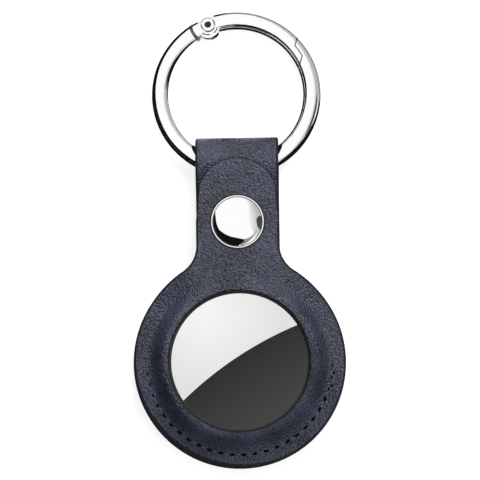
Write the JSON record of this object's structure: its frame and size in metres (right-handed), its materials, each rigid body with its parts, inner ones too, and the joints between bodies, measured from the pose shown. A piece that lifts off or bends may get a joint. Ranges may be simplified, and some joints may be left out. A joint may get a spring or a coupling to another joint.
{
  "type": "tracker tag holder",
  "caption": "Round leather pouch holding a coin tracker tag behind a window, with a snap-closed strap looped through a spring-gate ring for hanging it on keys or a bag.",
  "frame": {"origin": "on the table under the middle of the object's length, as it lies on its back", "axes": "+Y from the pocket towards the ring, +Z out of the front with the window, +X to the right seen from the front"},
  "size_m": [0.0424, 0.092, 0.0116],
  "materials": {
    "navy_leather": "soft matt",
    "lining": "matt",
    "thread": "matt",
    "chrome": "polished",
    "spring_steel": "drawn",
    "polished_steel": "mirror polished",
    "white_plastic": "gloss",
    "grey_plastic": "matt",
    "cell_can": "satin",
    "board": "matt",
    "contact_brass": "satin",
    "magnet": "satin"
  },
  "bodies": {
    "holder": {"front_panel": "navy_leather", "back_panel": "navy_leather", "front_lining": "lining", "back_lining": "lining", "needle_thread": "thread", "bobbin_thread": "thread", "snap_stud": "chrome", "snap_post": "chrome"},
    "tongue": {"front_tongue": "navy_leather", "snap_cap": "chrome", "snap_socket": "chrome", "snap_spring": "spring_steel"},
    "ring": {"ring_body": "chrome"},
    "gate": {"ring_gate": "chrome", "gate_pin": "chrome", "gate_spring": "spring_steel"},
    "tag": {"tag_base": "white_plastic", "tag_frame": "grey_plastic", "tag_battery": "cell_can", "tag_contacts": "contact_brass", "tag_board": "board", "tag_voice_coil": "contact_brass", "tag_magnet": "magnet"},
    "battery_cover": {"tag_cover": "polished_steel", "tag_cover_carrier": "grey_plastic"}
  },
  "joints": [
    {"name": "tongue_lift", "type": "hinge", "parent": "holder", "child": "tongue", "pos_m": [0, -0.00473, 0.00975], "axis": [1, 0, 0], "range_deg": [0, 100], "deforming": ["snap_spring"]},
    {"name": "ring_swing", "type": "hinge", "parent": "holder", "child": "ring", "pos_m": [0, 0.01547, 0.00475], "axis": [1, 0, 0], "range_deg": [0, 100]},
    {"name": "gate_swing", "type": "hinge", "parent": "ring", "child": "gate", "pos_m": [-0.00552, 0.04325, 0.00186], "axis": [0, -0.1036, -0.9946], "range_deg": [0, 40], "stiffness_Nm_per_rad": 0.02, "springref_deg": -11.46, "deforming": ["gate_spring"]},
    {"name": "tag_turn", "type": "hinge", "parent": "holder", "child": "tag", "pos_m": [0, -0.02483, 0.00495], "axis": [0, 0, 1], "continuous": true},
    {"name": "cover_turn", "type": "hinge", "parent": "tag", "child": "battery_cover", "pos_m": [0, -0.02483, 0.00815], "axis": [0, 0, 1], "range_deg": [0, 25]}
  ]
}
